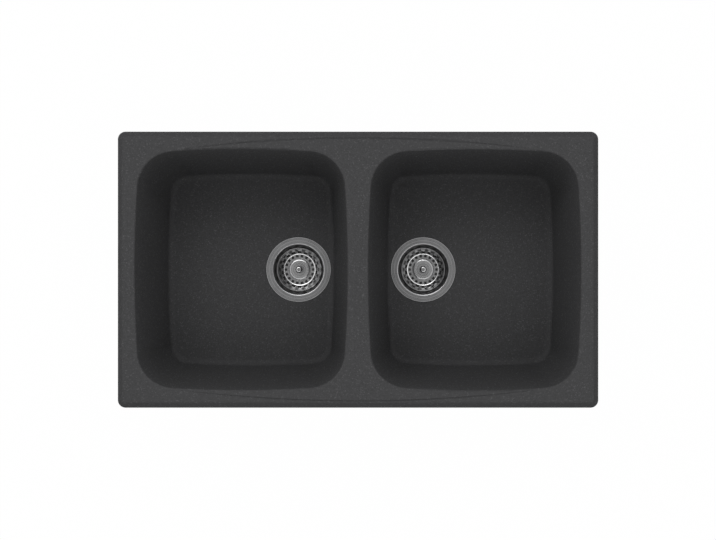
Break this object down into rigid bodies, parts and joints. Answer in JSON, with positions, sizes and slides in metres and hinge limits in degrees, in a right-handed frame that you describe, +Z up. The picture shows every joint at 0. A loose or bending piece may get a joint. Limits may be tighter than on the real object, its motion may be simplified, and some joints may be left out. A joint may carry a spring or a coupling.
{
  "type": "double bowl kitchen sink",
  "caption": "Inset kitchen sink with two equal deep bowls side by side, a dark composite moulding with steel basket strainers and worktop clamps.",
  "frame": {"origin": "centre of the sink in plan, in the plane of the rim's underside, which rests on the worktop", "axes": "+X along the sink's length to the right, +Y towards the back, +Z up"},
  "size_m": [0.87, 0.5, 0.297],
  "materials": {
    "granite_composite": "matte",
    "brushed_flange_steel": "satin",
    "basket_steel": "satin",
    "knob_steel": "polished",
    "plated_steel": "satin",
    "brass": "satin",
    "rubber": "matte",
    "seal_foam": "matte",
    "white_waste_plastic": "satin"
  },
  "bodies": {
    "sink": {"sink_body": "granite_composite", "rim_seal_strip": "seal_foam", "clamp_bushes": "brass", "left_strainer_cup": "brushed_flange_steel", "left_flange_gasket": "seal_foam", "left_body_gasket": "rubber", "left_waste_body": "white_waste_plastic", "left_brass_insert": "brass", "left_cup_screw": "plated_steel", "right_strainer_cup": "brushed_flange_steel", "right_flange_gasket": "seal_foam", "right_body_gasket": "rubber", "right_waste_body": "white_waste_plastic", "right_brass_insert": "brass", "right_cup_screw": "plated_steel"},
    "left_stopper": {"left_basket_knob": "knob_steel", "left_basket_plug": "rubber", "left_stem_clip": "plated_steel"},
    "left_strainer_basket": {"left_basket": "basket_steel", "left_basket_hub": "basket_steel"},
    "right_stopper": {"right_basket_knob": "knob_steel", "right_basket_plug": "rubber", "right_stem_clip": "plated_steel"},
    "right_strainer_basket": {"right_basket": "basket_steel", "right_basket_hub": "basket_steel"},
    "screw_1": {"clamp_screw_1": "plated_steel"},
    "hook_1": {"clamp_1": "plated_steel"},
    "screw_2": {"clamp_screw_2": "plated_steel"},
    "hook_2": {"clamp_2": "plated_steel"},
    "screw_3": {"clamp_screw_3": "plated_steel"},
    "hook_3": {"clamp_3": "plated_steel"},
    "screw_4": {"clamp_screw_4": "plated_steel"},
    "hook_4": {"clamp_4": "plated_steel"},
    "screw_5": {"clamp_screw_5": "plated_steel"},
    "hook_5": {"clamp_5": "plated_steel"},
    "screw_6": {"clamp_screw_6": "plated_steel"},
    "hook_6": {"clamp_6": "plated_steel"},
    "screw_7": {"clamp_screw_7": "plated_steel"},
    "hook_7": {"clamp_7": "plated_steel"},
    "screw_8": {"clamp_screw_8": "plated_steel"},
    "hook_8": {"clamp_8": "plated_steel"}
  },
  "joints": [
    {"name": "left_basket_lift", "type": "slide", "parent": "sink", "child": "left_stopper", "axis": [0, 0, 1], "range_m": [0, 0.26]},
    {"name": "left_basket_turn", "type": "hinge", "parent": "left_stopper", "child": "left_strainer_basket", "pos_m": [-0.12019, 0, -0.186], "axis": [0, 0, 1], "continuous": true},
    {"name": "right_basket_lift", "type": "slide", "parent": "sink", "child": "right_stopper", "axis": [0, 0, 1], "range_m": [0, 0.26]},
    {"name": "right_basket_turn", "type": "hinge", "parent": "right_stopper", "child": "right_strainer_basket", "pos_m": [0.12019, 0, -0.186], "axis": [0, 0, 1], "continuous": true},
    {"name": "clamp_1_tighten", "type": "slide", "parent": "sink", "child": "screw_1", "axis": [0, 0, 1], "range_m": [0, 0.01]},
    {"name": "clamp_1_swing", "type": "hinge", "parent": "screw_1", "child": "hook_1", "pos_m": [-0.3, -0.234, -0.045], "axis": [0, 0, 1], "range_deg": [0, 90]},
    {"name": "clamp_2_tighten", "type": "slide", "parent": "sink", "child": "screw_2", "axis": [0, 0, 1], "range_m": [0, 0.01]},
    {"name": "clamp_2_swing", "type": "hinge", "parent": "screw_2", "child": "hook_2", "pos_m": [0, -0.234, -0.045], "axis": [0, 0, 1], "range_deg": [0, 90]},
    {"name": "clamp_3_tighten", "type": "slide", "parent": "sink", "child": "screw_3", "axis": [0, 0, 1], "range_m": [0, 0.01]},
    {"name": "clamp_3_swing", "type": "hinge", "parent": "screw_3", "child": "hook_3", "pos_m": [0.3, -0.234, -0.045], "axis": [0, 0, 1], "range_deg": [0, 90]},
    {"name": "clamp_4_tighten", "type": "slide", "parent": "sink", "child": "screw_4", "axis": [0, 0, 1], "range_m": [0, 0.01]},
    {"name": "clamp_4_swing", "type": "hinge", "parent": "screw_4", "child": "hook_4", "pos_m": [0.419, 0, -0.045], "axis": [0, 0, 1], "range_deg": [0, 90]},
    {"name": "clamp_5_tighten", "type": "slide", "parent": "sink", "child": "screw_5", "axis": [0, 0, 1], "range_m": [0, 0.01]},
    {"name": "clamp_5_swing", "type": "hinge", "parent": "screw_5", "child": "hook_5", "pos_m": [0.3, 0.234, -0.045], "axis": [0, 0, 1], "range_deg": [0, 90]},
    {"name": "clamp_6_tighten", "type": "slide", "parent": "sink", "child": "screw_6", "axis": [0, 0, 1], "range_m": [0, 0.01]},
    {"name": "clamp_6_swing", "type": "hinge", "parent": "screw_6", "child": "hook_6", "pos_m": [0, 0.234, -0.045], "axis": [0, 0, 1], "range_deg": [0, 90]},
    {"name": "clamp_7_tighten", "type": "slide", "parent": "sink", "child": "screw_7", "axis": [0, 0, 1], "range_m": [0, 0.01]},
    {"name": "clamp_7_swing", "type": "hinge", "parent": "screw_7", "child": "hook_7", "pos_m": [-0.3, 0.234, -0.045], "axis": [0, 0, 1], "range_deg": [0, 90]},
    {"name": "clamp_8_tighten", "type": "slide", "parent": "sink", "child": "screw_8", "axis": [0, 0, 1], "range_m": [0, 0.01]},
    {"name": "clamp_8_swing", "type": "hinge", "parent": "screw_8", "child": "hook_8", "pos_m": [-0.419, 0, -0.045], "axis": [0, 0, 1], "range_deg": [0, 90]}
  ]
}
